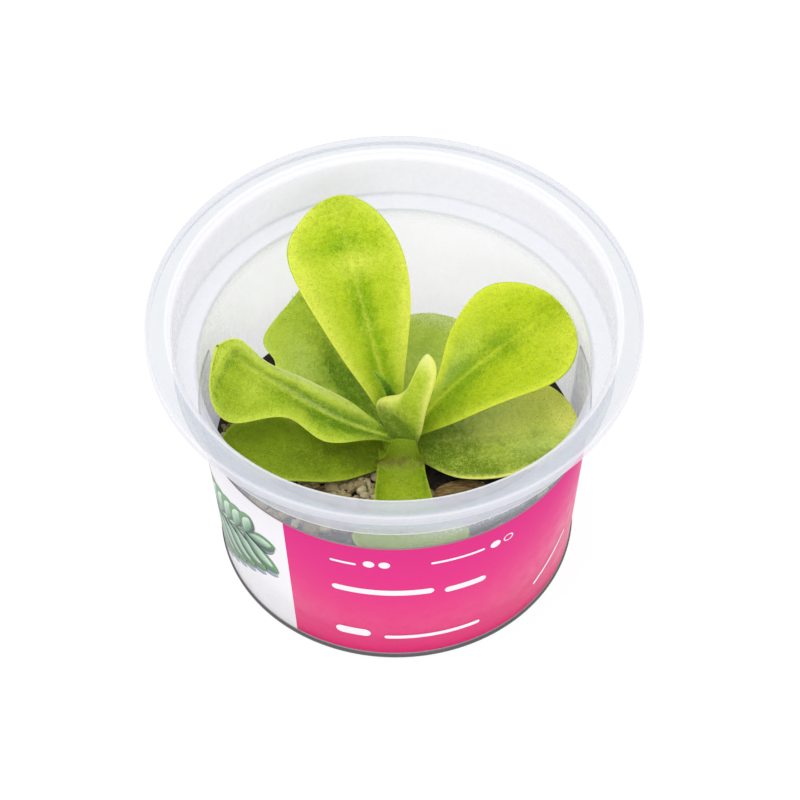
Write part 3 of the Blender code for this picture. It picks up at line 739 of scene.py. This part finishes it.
def make_label(films):
    """Film bent round the body, printed pink beside a white panel; its back is white and its
    top edge grey. films are the pink, white, back and edge films."""
    pink, white, back, edge = range(4)
    steps = round((PANEL_END + LABEL_REACH) / LABEL_STEP)
    panel = np.linspace(-LABEL_REACH, PANEL_END, steps, endpoint=False)
    rest = np.linspace(PANEL_END, LABEL_REACH, round((LABEL_REACH - PANEL_END) / LABEL_STEP) + 1)
    angles = np.radians(np.concatenate([panel, rest]))
    bevel, middle = 0.06, 22.0
    outer = LABEL_GAP + LABEL_THICKNESS
    section = [
        (LABEL_GAP, LABEL_BOTTOM), (LABEL_GAP, middle), (LABEL_GAP, LABEL_TOP), (outer - bevel, LABEL_TOP),
        (outer, LABEL_TOP - bevel), (outer, middle), (outer, LABEL_BOTTOM + bevel),
        (outer - bevel, LABEL_BOTTOM),
    ]
    columns = len(section)
    points = []
    for angle in angles:
        for off, height in section:
            radius = body_radius(height) + off
            points.append((radius * math.sin(angle), -radius * math.cos(angle), height))
    faces = ring_faces(len(angles), columns)
    which = []
    for face in faces:
        high = max(corner % columns for corner in face)
        front = pink if min(face) // columns >= len(panel) else white
        is_end = len(face) > 4
        which.append(front if is_end or high > 4 else back if high <= 2 else edge)
    obj = add_piece("label_film", points, faces, films, ["label"], which=which)
    obj.data.set_sharp_from_angle(angle=math.radians(50))


def bar(centre, size, slant=0.0, steps=24):
    """A printed bar with round ends, as points and faces. slant is in degrees."""
    half_length, half_width = size[0] / 2.0, size[1] / 2.0
    straight = half_length - half_width
    end = half_length - half_width * (1.0 - np.cos(np.linspace(math.pi / 2.0, 0.0, 7)))
    along = np.concatenate([-end[::-1], np.linspace(-straight, straight, steps)[1:-1], end])
    inset = np.maximum(np.abs(along) - straight, 0.0)
    reach = np.sqrt(np.maximum(half_width ** 2 - inset ** 2, 0.0)) + 0.001
    x = np.repeat(along, 3)
    y = np.outer(reach, (-1.0, 0.0, 1.0)).ravel()
    turn = math.radians(slant)
    arc = centre[0] + x * math.cos(turn) - y * math.sin(turn)
    height = centre[1] + x * math.sin(turn) + y * math.cos(turn)
    return on_label(arc, height), sheet_faces(len(along), 3)


def ring(centre, inner):
    """A printed ring, as points and faces."""
    angle = full_turn(DOT_SIDES)
    x, y = np.cos(angle), np.sin(angle)
    points = [on_label(centre[0] + radius * x, centre[1] + radius * y) for radius in (inner, DOT_RADIUS)]
    faces = []
    for j in range(DOT_SIDES):
        k = (j + 1) % DOT_SIDES
        faces.append((j, DOT_SIDES + j, DOT_SIDES + k, k))
    return np.concatenate(points), faces


def joined(shapes):
    """Several shapes as one list of points and one of faces."""
    points, faces, count = [], [], 0
    for shape_points, shape_faces in shapes:
        points.append(shape_points)
        faces += [tuple(corner + count for corner in face) for face in shape_faces]
        count += len(shape_points)
    return np.concatenate(points), faces


def make_marks(white):
    """Generic marks in white: plain bars where words would be, and two rows of rating dots."""
    shapes = [
        bar((-10.8, 35.6), (5.4, 0.75)),
        bar((12.3, 36.0), (11.2, 0.75), steps=40),
        bar((-3.0, 25.6), (21.0, 1.9), steps=60),
        bar((14.2, 24.8), (9.0, 1.9), steps=30),
        bar((-9.6, 9.2), (7.6, 2.6)),
        bar((7.6, 8.2), (21.0, 1.2), steps=60),
        bar((38.6, 12.5), (13.5, 0.9), slant=32.0, steps=40),
    ]
    dots = (((-5.6, 36.2), 0.001), ((-2.5, 36.2), 0.001), ((20.3, 36.0), 0.001), ((23.3, 36.2), 0.85))
    points, faces = joined(shapes + [ring(centre, inner) for centre, inner in dots])
    add_piece("label_marks", points, faces, [white])


def blade(start, heading, length, width, bend, lift):
    """A printed oval leaf, drawn from its stalk. heading and bend are in degrees."""
    t = np.linspace(0.0, 1.0, BLADE_STEPS)
    angle = np.radians(heading + bend * t)
    x, y = (
        begin + np.concatenate([[0.0], np.cumsum(part[:-1] * length / (BLADE_STEPS - 1))])
        for begin, part in zip(start, (np.cos(angle), np.sin(angle)))
    )
    half = width / 2.0 * np.sin(np.pi * t ** 1.2) ** 0.65 + 0.02
    across = np.linspace(-1.0, 1.0, BLADE_COLUMNS)
    arc = x[:, None] - (np.sin(angle) * half)[:, None] * across
    height = y[:, None] + (np.cos(angle) * half)[:, None] * across
    shade = np.clip(t[:, None] * 0.75 + 0.4 * across, 0.0, 1.0).ravel()
    return on_label(arc.ravel(), height.ravel(), lift), sheet_faces(BLADE_STEPS, BLADE_COLUMNS), shade


def make_spray():
    """A generic printed twig with oval leaves on the white panel, over its soft shadow."""
    blades = [((-62.0, 12.0), 27.0, 34.0, 1.4, 6.0)]
    for k in range(7):
        x, y = -60.0 + 4.0 * k, 13.0 + 2.3 * k
        blades.append(((x + 0.6, y + 0.4), 82.0, 14.5 - 1.0 * k, 7.2 - 0.4 * k, -22.0))
        blades.append(((x, y), -44.0, 14.0 - 0.4 * k, 7.4 - 0.3 * k, 24.0))
    blades.append(((-34.0, 27.5), 24.0, 8.2, 4.8, -10.0))
    prints = (
        ("spray_shadow", srgb(86, 98, 120), srgb(172, 180, 196), (-0.7, -1.5), 1.04, 1.1, 0.01),
        ("spray_deep", srgb(10, 48, 32), srgb(92, 156, 88), (0.0, 0.0), 1.0, 1.0, PRINT_LIFT),
        ("spray_light", srgb(70, 130, 92), srgb(206, 232, 214), (0.15, 0.3), 0.84, 0.55, 0.034),
    )
    for name, dark, light, shift, longer, wider, lift in prints:
        shapes, tones = [], []
        for k, (start, heading, length, width, bend) in enumerate(blades):
            place = (start[0] + shift[0], start[1] + shift[1])
            step = 0.0 if name == "spray_shadow" else 0.008 * k
            *shape, tone = blade(place, heading, length * longer, width * wider, bend, lift + step)
            shapes.append(shape)
            tones.append(tone)
        points, faces = joined(shapes)
        values = {"along": np.concatenate(tones)}
        add_piece(name, points, faces, [printed_leaf(name, dark, light)], values=values)


# Soil

def soil_top(x, y):
    turn = 2.0 * math.pi / SOIL_WAVE_LENGTH
    fall = min(max((y - SOIL_DIP_START) / SOIL_DIP_RUN, 0.0), 1.0)
    return SOIL_TOP + SOIL_WAVE * math.sin(x * turn + 1.0) * math.cos(y * turn + 0.5) - SOIL_DIP * fall


def crumbled(x, y, z, size, height):
    """Offset of a crumbly surface at a place."""
    return height * noise.fractal(Vector((x, y, z)) / size, 0.7, 2.1, 5)


def make_soil():
    """Dark mix that fills the tub, with a crumbly top."""
    low = FLOOR + GAP
    wall = body_radius(SOIL_TOP) - WALL
    levels = [low, low + 1.0, *np.linspace(4.0, SOIL_TOP - 0.8, 14)]
    angles = full_turn(SOIL_SIDES)
    tops = [soil_top(*polar(wall, angle)) for angle in angles]
    points = []
    for level in levels:
        for angle, top in zip(angles, tops):
            height = min(level, top - 0.6)
            inset = 1.0 if level == low else 0.15
            points.append((*polar(body_radius(height) - WALL - inset, angle), height))
    for part in np.linspace(1.0, 0.0, SOIL_RINGS) ** 0.8:
        ease = min(1.0, (1.0 - part) * 12.0 + 0.25)
        for angle, top in zip(angles, tops):
            x, y = polar(max((body_radius(top) - WALL - 0.1) * part, 0.4), angle)
            points.append((x, y, soil_top(x, y) + ease * crumbled(x, y, 0.0, 3.2, 0.75)))
    faces = ring_faces(len(levels) + SOIL_RINGS, SOIL_SIDES)
    add_piece("soil_bed", points, faces, [soil_material()], ["soil"])


def stone(draw, centre, radius, squash, matrix, subdivisions):
    """An angular granule: a ball cut by random planes. Returns its points and faces."""
    bm = bmesh.new()
    bmesh.ops.create_icosphere(bm, subdivisions=subdivisions, radius=1.0)
    points = np.array([v.co[:] for v in bm.verts])
    faces = [tuple(v.index for v in face.verts) for face in bm.faces]
    bm.free()
    for _ in range(STONE_CUTS):
        normal = np.array([draw.gauss(0.0, 1.0) for _ in range(3)])
        normal /= np.linalg.norm(normal)
        over = points @ normal - draw.uniform(*STONE_CUT_RANGE)
        points -= np.maximum(over, 0.0)[:, None] * normal
    points = points * STONE_SWELL * radius * np.array(squash)
    return points @ np.array(matrix.to_3x3()).T + np.array(centre), faces


def tumbled(draw, tilt):
    """A random turn about the vertical, after a tilt drawn from a range."""
    turn = Matrix.Rotation(draw.uniform(0.0, math.pi), 4, "Z")
    return turn @ Matrix.Rotation(draw.uniform(*tilt), 4, "X")


def drawn(draw, *ranges):
    """A random number from each range."""
    return tuple(draw.uniform(*limits) for limits in ranges)


def drawn_spot(draw, radius):
    """A random place in a disc."""
    return polar(radius * math.sqrt(draw.random()), draw.uniform(-math.pi, math.pi))


def make_grit():
    """Granules bedded in the soil's top, where the solid has them, and smaller ones among them."""
    draw = random.Random(GRIT_SEED)
    shape = random.Random(STONE_SEED)
    wall = body_radius(SOIL_TOP) - WALL - GAP
    placed, shapes, tones = [], [], []

    def add(place, size, squash, turn, subdivisions, tone):
        shapes.append(stone(shape, place, size, squash, turn, subdivisions))
        tones.append(np.full(len(shapes[-1][0]), tone))

    while len(placed) < GRIT_COUNT:
        size = draw.uniform(*GRIT_SIZE)
        spot = Vector(drawn_spot(draw, wall - size - GRIT_MARGIN))
        clear_of_hole = (spot - Vector(CROWN)).length > STUB_RADIUS + GAP + size + GRIT_MARGIN
        clear_of_bare = (spot - Vector(BARE_SPOT)).length > BARE_RADIUS + size
        apart = all((spot - other).length > (size + far) * 1.02 for other, far in placed)
        if not (clear_of_hole and clear_of_bare and apart):
            continue
        placed.append((spot, size))
        turn = tumbled(draw, (0.2, 0.9))
        squash = (*drawn(draw, (0.8, 1.0), (0.8, 1.0)), GRIT_FLATNESS)
        height = min(soil_top(*spot) + GRIT_LIFT * size, GRIT_LIMIT - GRIT_FLATNESS * size)
        add((*spot, height), size, squash, turn, 3, shape.uniform(0.1, 0.9))
    for _ in range(SCATTER_COUNT):
        size = shape.uniform(*SCATTER_SIZE)
        x, y = drawn_spot(shape, wall - size)
        turn = tumbled(shape, (0.0, 3.0))
        squash = drawn(shape, (0.7, 1.0), (0.7, 1.0), (0.5, 0.9))
        if math.dist((x, y), BARE_SPOT) > BARE_RADIUS:
            add((x, y, soil_top(x, y) + 0.3 * size), size, squash, turn, 2, shape.uniform(0.0, 1.0))
    for _ in range(BED_COUNT):
        size = shape.uniform(*BED_SIZE)
        across, along = drawn_spot(shape, 1.0)
        x, y = BED[0] + BED[2] * across, BED[1] + BED[3] * along
        turn = tumbled(shape, (0.0, 3.0))
        *squash, lift = drawn(shape, (0.7, 1.0), (0.6, 0.9), (0.5, 0.8), (0.2, 0.7))
        if math.hypot(x, y) < wall - size:
            add((x, y, soil_top(x, y) + lift * size), size, squash, turn, 2, shape.uniform(0.35, 1.0))
    points, faces = joined(shapes)
    values = {"tone": np.concatenate(tones)}
    add_piece("grit", points, faces, [grit_material()], values=values, smooth=False)

    chips = []
    for k in range(CHIP_COUNT):
        x, y = drawn_spot(shape, wall - 5.0)
        turn, size = drawn(shape, (0.0, math.pi), (1.6, 2.8))
        if k == 0:
            x, y, turn, size = FRONT_CHIP
        slope = Matrix.Rotation(turn, 4, "Z") @ Matrix.Rotation(shape.uniform(0.1, 0.4), 4, "X")
        chips.append(stone(shape, (x, y, soil_top(x, y) + 0.35), size, CHIP_SHAPE, slope, 3))
    points, faces = joined(chips)
    add_piece("bark_chips", points, faces, [bark_material()], smooth=False)


# Plant

def crown_radius(height):
    radii, heights = zip(*CROWN_PROFILE)
    return float(np.interp(height, heights, radii))


def make_crown():
    """Short stem between the leaf bases, lumpy and smooth, with the sheath by which the front
    leaf's stalk runs up into the young leaf."""
    profile = [(STUB_RADIUS * 0.6, 22.0), (STUB_RADIUS, 23.0), *CROWN_PROFILE, (0.2, 33.1)]
    steps = np.linspace(0.0, len(profile) - 1.0, CROWN_RINGS)
    rounds = [[np.interp(step, range(len(profile)), column) for column in zip(*profile)] for step in steps]
    points = turned(rounds, CROWN_SIDES, CROWN)
    for point in points:
        off = crumbled(*point, 2.5, 0.12)
        away = point[:2] - CROWN
        point[:2] += away / max(np.linalg.norm(away), 0.1) * off
    # painted brown shade, darker towards the bottom among the leaf bases
    brown_shade = np.clip((29.5 - points[:, 2]) / 4.0, 0.0, 1.0)
    faces = ring_faces(CROWN_RINGS, CROWN_SIDES)
    mat = crown_material()
    add_piece("crown_stem", points, faces, [mat], ["crown"], {"brown_shade": brown_shade})

    t = np.linspace(0.0, 1.0, CROWN_RINGS)
    x, y, z, halves, depths = (through(SHEATH[key], t) for key in ("x", "y", "z", "half", "depth"))
    path = np.stack([x, y, z], -1)
    sideways = (1.0, 0.0, 0.0)
    outwards = np.cross(unit(np.gradient(path, axis=0)), sideways)
    across = np.linspace(-1.0, 1.0, SHEATH_COLUMNS)
    angle = across * math.pi / 2.0
    rings, brown_shades = [], []
    for k in range(CROWN_RINGS):
        front = path[k] + np.outer(halves[k] * np.sin(angle), sideways)
        front = front + np.outer(depths[k] * (np.cos(angle) - 1.0), outwards[k])
        back = front[::-1][1:-1] - outwards[k] * SHEATH_THICKNESS
        rings.append(np.concatenate([front, back]))
        side = np.concatenate([np.abs(across), np.ones(len(back))]) ** 4
        # painted brown shade at the sheath's sides and back, around its middle
        brown_shades.append(0.85 * side * bell(t[k] - 0.4, 0.2))
    faces = ring_faces(CROWN_RINGS, len(rings[0]))
    values = {"brown_shade": np.concatenate(brown_shades)}
    add_piece("crown_sheath", np.concatenate(rings), faces, [mat], values=values)


def through(values, s):
    """Smooth curve through evenly spaced values, read at s from 0 to 1."""
    v = np.asarray(values, float)
    spans = len(v) - 1
    x = np.clip(s, 0.0, 1.0) * spans
    i = np.minimum(x.astype(int), spans - 1)
    t = x - i
    p = np.concatenate([[2 * v[0] - v[1]], v, [2 * v[-1] - v[-2]]])
    a, b, c, d = p[i], p[i + 1], p[i + 2], p[i + 3]
    square = (2 * a - 5 * b + 4 * c - d) * t ** 2
    cube = (3 * b - a - 3 * c + d) * t ** 3
    return 0.5 * (2 * b + (c - a) * t + square + cube)


def directions(leaf, s):
    """Unit vectors along the midrib, to its left and up from the upper face, at each s."""
    azimuth = np.radians(leaf["azimuth"] + leaf["sweep"] * s ** SWEEP_POWER)
    rise = np.radians(through(leaf["rise"], s) + leaf["hook"] * s ** HOOK_POWER)
    along = np.stack([np.cos(rise) * np.cos(azimuth), np.cos(rise) * np.sin(azimuth), np.sin(rise)], -1)
    level = np.stack([-np.sin(azimuth), np.cos(azimuth), 0.0 * azimuth], -1)
    above = np.cross(along, level)
    bank = np.radians(through(leaf["bank"], s))[:, None]
    return along, np.cos(bank) * level + np.sin(bank) * above, np.cos(bank) * above - np.sin(bank) * level


def midrib(leaf, s):
    """Points of the midrib, from the seat on the crown outwards."""
    fine = np.linspace(0.0, 1.0, MIDRIB_STEPS + 1)
    along = directions(leaf, fine)[0]
    steps = (along[1:] + along[:-1]) / 2.0 * leaf["length"] / MIDRIB_STEPS
    seat = math.radians(leaf["seat"])
    slope = math.radians(leaf["rise"][0])
    under = crown_radius(leaf["height"] - leaf["thick"][0] * math.cos(slope))
    reach = max(crown_radius(leaf["height"]), under - leaf["thick"][0] * math.sin(slope))
    reach += leaf["out"] + GAP
    start = np.array([*np.add(CROWN, polar(reach, seat)), leaf["height"]])
    path = np.concatenate([[start], start + np.cumsum(steps, 0)])
    return np.stack([np.interp(s, fine, path[:, axis]) for axis in range(3)], -1)


def half_width(leaf, s, u):
    return np.where(u > 0.0, through(leaf["left"], s), through(leaf["right"], s))


def near_tip(t):
    """0 along most of a leaf, and 1 at its tip."""
    return np.clip(5.0 * t - 3.6, 0.0, 1.0)


def leaf_surface(leaf, s, u):
    """Upper and lower face at matching places along, s, and across, u, with the way up from
    the blade and the distance from its margin. s below 0 runs into the crown."""
    t = np.clip(s, 0.0, 1.0)
    along, left, above = directions(leaf, t)
    point = midrib(leaf, t) + np.minimum(s, 0.0)[:, None] * leaf["length"] * along
    round_tip = np.sqrt(np.maximum(1.0 - t ** leaf["tip"], 0.0))
    width = np.maximum(half_width(leaf, t, u), LEAST_HALF_WIDTH) * round_tip
    fold = np.radians(through(leaf["fold"], t))
    blade_part = np.sin(np.pi * t ** BLADE_POWER)
    height, count = leaf["wave"]
    wave = height * np.sin(2.0 * np.pi * (count * t + 0.25 * np.sign(u)))
    curl = np.where(u > 0.0, *leaf["curl"])
    sideways = u * width * np.cos(fold)
    lift = np.abs(u) ** FOLD_POWER * width * np.sin(fold)
    lift = lift + np.abs(u) ** EDGE_POWER * blade_part * (wave + curl)
    upper = point + sideways[:, None] * left + lift[:, None] * above
    thickness = EDGE_THICKNESS + (through(leaf["thick"], t) - EDGE_THICKNESS) * (1.0 - u ** 2)
    lower = upper - thickness[:, None] * above
    from_rib = np.abs(u) * width
    groove = 0.3 * leaf["rib"] * bell(from_rib, 0.7) * (1.0 - 0.6 * t)
    keel = 0.35 * leaf["rib"] * bell(from_rib, 1.2) * (1.0 - 0.7 * t)
    margin = (1.0 - np.abs(u)) * width
    rim = leaf["cup"] * bell(margin, 1.4) * near_tip(t)
    upper = upper + (rim - groove)[:, None] * above
    lower = lower + (rim - keel)[:, None] * above
    inwards = np.clip(margin / (thickness / 2.0), 0.0, 1.0)
    swell = np.sqrt(np.maximum(1.0 - (1.0 - inwards) ** 2, 0.0))[:, None]
    core = (upper + lower) / 2.0
    return core + (upper - core) * swell, core + (lower - core) * swell, above, margin, from_rib


def patch_at(patch, t, u):
    """How strongly a patch shows at matching places."""
    along, across, reach, spread, strength = patch
    return strength * np.exp(-((t - along) / reach) ** 2 - ((u - across) / spread) ** 2)


def shades(leaf, s, u, margin, from_rib):
    """How deep, how pale and how frosted a leaf is at matching places. Deep and pale include
    painted shade and painted highlights, and the frosted parts a painted sheen.
    """
    t = np.clip(s, 0.0, 1.0)
    fading = np.clip(1.15 - t, 0.0, 1.0) * leaf["rib"]
    pale = 0.9 * np.exp(-(margin / leaf["margin"]) ** 1.6) * np.clip(3.5 * t, 0.0, 1.0)
    pale = pale + 0.7 * bell(from_rib, 0.45) * fading
    deep = 0.8 * bell(from_rib - 1.3, 1.7) * fading
    # painted shade: a dark line inside the upturned rim at the tip
    deep = deep + leaf["cup"] * bell(margin - 2.0, 0.6) * near_tip(t)
    for patch in leaf["patches"]:
        strength = patch_at(patch, t, u)
        deep = deep + np.maximum(strength, 0.0)
        pale = pale + np.maximum(-strength, 0.0)
    # painted shade on the thin outer edge of the leaf
    rim = leaf["rim"] * bell(margin, 0.22) * np.clip(6.0 * t - 3.6, 0.0, 1.0)
    frost_sheen = sum((patch_at(patch, t, u) for patch in leaf["frost_sheen"]), np.zeros(len(u)))
    deep, pale = np.clip(deep + 2.0 * rim, 0.0, 1.0), np.clip(pale, 0.0, 1.0) * (1.0 - rim)
    return deep, pale, np.clip(frost_sheen, 0.0, 1.0)


def make_leaf(name, leaf):
    """A leaf with round margins whose base runs into the crown."""
    root = -ROOT_LENGTH / leaf["length"] * np.linspace(1.0, 0.0, ROOT_ROWS, endpoint=False)
    out = 1.0 - (1.0 - np.arange(STATIONS) / STATIONS) ** TIP_SPACING
    rows = np.concatenate([root, out, [0.9999]])
    upper_count = ACROSS + 1
    over = np.sin(np.linspace(-math.pi / 2.0, math.pi / 2.0, upper_count))
    u = np.concatenate([over, over[::-1][1:-1]])
    rings, tones = [], []
    for row in rows:
        s = np.full(len(u), row)
        upper, lower, _, margin, from_rib = leaf_surface(leaf, s, u)
        rings.append(np.concatenate([upper[:upper_count], lower[upper_count:]]))
        tones.append(shades(leaf, s, u, margin, from_rib))
    faces = [face[::-1] for face in ring_faces(len(rows), len(u))]
    values = dict(zip(("deep", "pale", "frost_sheen"), np.concatenate(tones, axis=1)))
    mat = leaf_material(name, leaf)
    add_piece(name + "_blade", np.concatenate(rings), faces, [mat], [name], values)


def make_glands(name, leaf):
    """Droplets on fine stalks, scattered over a leaf's upper face."""
    draw = np.random.default_rng(len(name) * 101 + int(leaf["length"] * 10))
    s = draw.uniform(0.03, 0.995, GLAND_TRIES)
    u = draw.uniform(-0.97, 0.97, GLAND_TRIES)
    widest = max(leaf["left"] + leaf["right"]) * 1.1
    area = leaf["length"] * (sum(leaf["left"]) + sum(leaf["right"])) / 5.0 / 100.0
    keep = np.flatnonzero(draw.random(GLAND_TRIES) < half_width(leaf, s, u) / widest)
    keep = keep[:int(area * GLANDS_PER_CM2)]
    s, u = s[keep], u[keep]
    count = len(s)
    upper, _, _, margin, from_rib = leaf_surface(leaf, s, u)
    deep, pale, _ = shades(leaf, s, u, margin, from_rib)
    step = 0.004
    along = leaf_surface(leaf, np.minimum(s + step, 1.0), u)[0] - leaf_surface(leaf, s - step, u)[0]
    across = leaf_surface(leaf, s, u + step)[0] - leaf_surface(leaf, s, u - step)[0]
    normal = unit(np.cross(along, across))
    normal = unit(normal + draw.normal(0.0, GLAND_LEAN, normal.shape))
    side = unit(np.cross(normal, along))
    other = np.cross(normal, side)
    height = draw.uniform(*GLAND_HEIGHT, count)[:, None]
    radius = draw.uniform(*GLAND_RADIUS, count)[:, None]
    middle = upper + 0.72 * height * normal
    girth = [middle + radius * off for off in (side, other, -side, -other)]
    points = np.stack([upper - 0.05 * normal, *girth, upper + height * normal], 1).reshape(-1, 3)
    corners = [(0, 2, 1), (0, 3, 2), (0, 4, 3), (0, 1, 4), (5, 1, 2), (5, 2, 3), (5, 3, 4), (5, 4, 1)]
    faces = [tuple(6 * k + corner for corner in face) for k in range(count) for face in corners]
    values = {"tone": draw.uniform(0.0, 1.0, count), "deep": deep * (1.0 - pale)}
    values = {key: np.repeat(numbers, 6) for key, numbers in values.items()}
    add_piece(name + "_glands", points, faces, [gland_material(name, leaf)], values=values)


# Studio

def make_studio():
    """Pale floor, soft light from all round with a large soft lamp above, and the camera."""
    white = (1.0, 1.0, 1.0, 1.0)
    floor_material = Material("studio_floor", Base_Color=srgb(110, 110, 110), Roughness=0.9,
                              Emission_Color=white, Emission_Strength=FLOOR_GLOW)
    mesh = bpy.data.meshes.new("studio_floor")
    signs = ((-1, -1), (1, -1), (1, 1), (-1, 1))
    corners = [(x * FLOOR_HALF, y * FLOOR_HALF, FLOOR_HEIGHT) for x, y in signs]
    mesh.from_pydata(corners, [], [range(4)])
    mesh.materials.append(floor_material.mat)
    floor = add_object("studio_floor", mesh)

    world = bpy.data.worlds.new("studio")
    world.use_nodes = True
    background = world.node_tree.nodes["Background"]
    background.inputs["Color"].default_value = white
    background.inputs["Strength"].default_value = SKY_STRENGTH
    bpy.context.scene.world = world

    for name, place, width, power in LAMPS:
        light = bpy.data.lights.new(name, "AREA")
        light.size = width * MM
        light.energy = power
        lamp = add_object(name, light)
        lamp.location = Vector(place) * MM
        lamp.rotation_euler = (-Vector(place)).to_track_quat("-Z", "Y").to_euler()

    camera_data = bpy.data.cameras.new("camera")
    camera_data.lens = CAMERA_LENS
    camera_data.sensor_width = 36.0
    camera = add_object("camera", camera_data)
    target = Matrix.Translation(Vector(CAMERA_TARGET) * MM)
    tilt = Matrix.Rotation(math.radians(90.0 - CAMERA_ELEVATION), 4, "X")
    roll = Matrix.Rotation(CAMERA_ROLL, 4, "Z")
    camera.matrix_world = target @ tilt @ roll @ Matrix.Translation((0.0, 0.0, CAMERA_DISTANCE * MM))
    bpy.context.scene.camera = camera
    bpy.context.scene.view_settings.view_transform = "Standard"


make_studio()
make_tub()
make_label([
    film("pink_film", srgb(219, 44, 132), srgb(224, 50, 134), srgb(226, 14, 100)),
    film("white_film", srgb(236, 234, 238), srgb(240, 238, 242)),
    film("film_back", srgb(222, 220, 228), srgb(228, 226, 234), glow=0.48),
    film("film_edge", srgb(150, 132, 132), srgb(166, 150, 150)),
])
make_marks(film("white_ink", srgb(236, 232, 236), srgb(240, 238, 240)))
make_spray()
make_soil()
make_grit()
make_crown()
for leaf_name, own in LEAVES.items():
    make_leaf(leaf_name, PLAIN_LEAF | own)
    make_glands(leaf_name, PLAIN_LEAF | own)
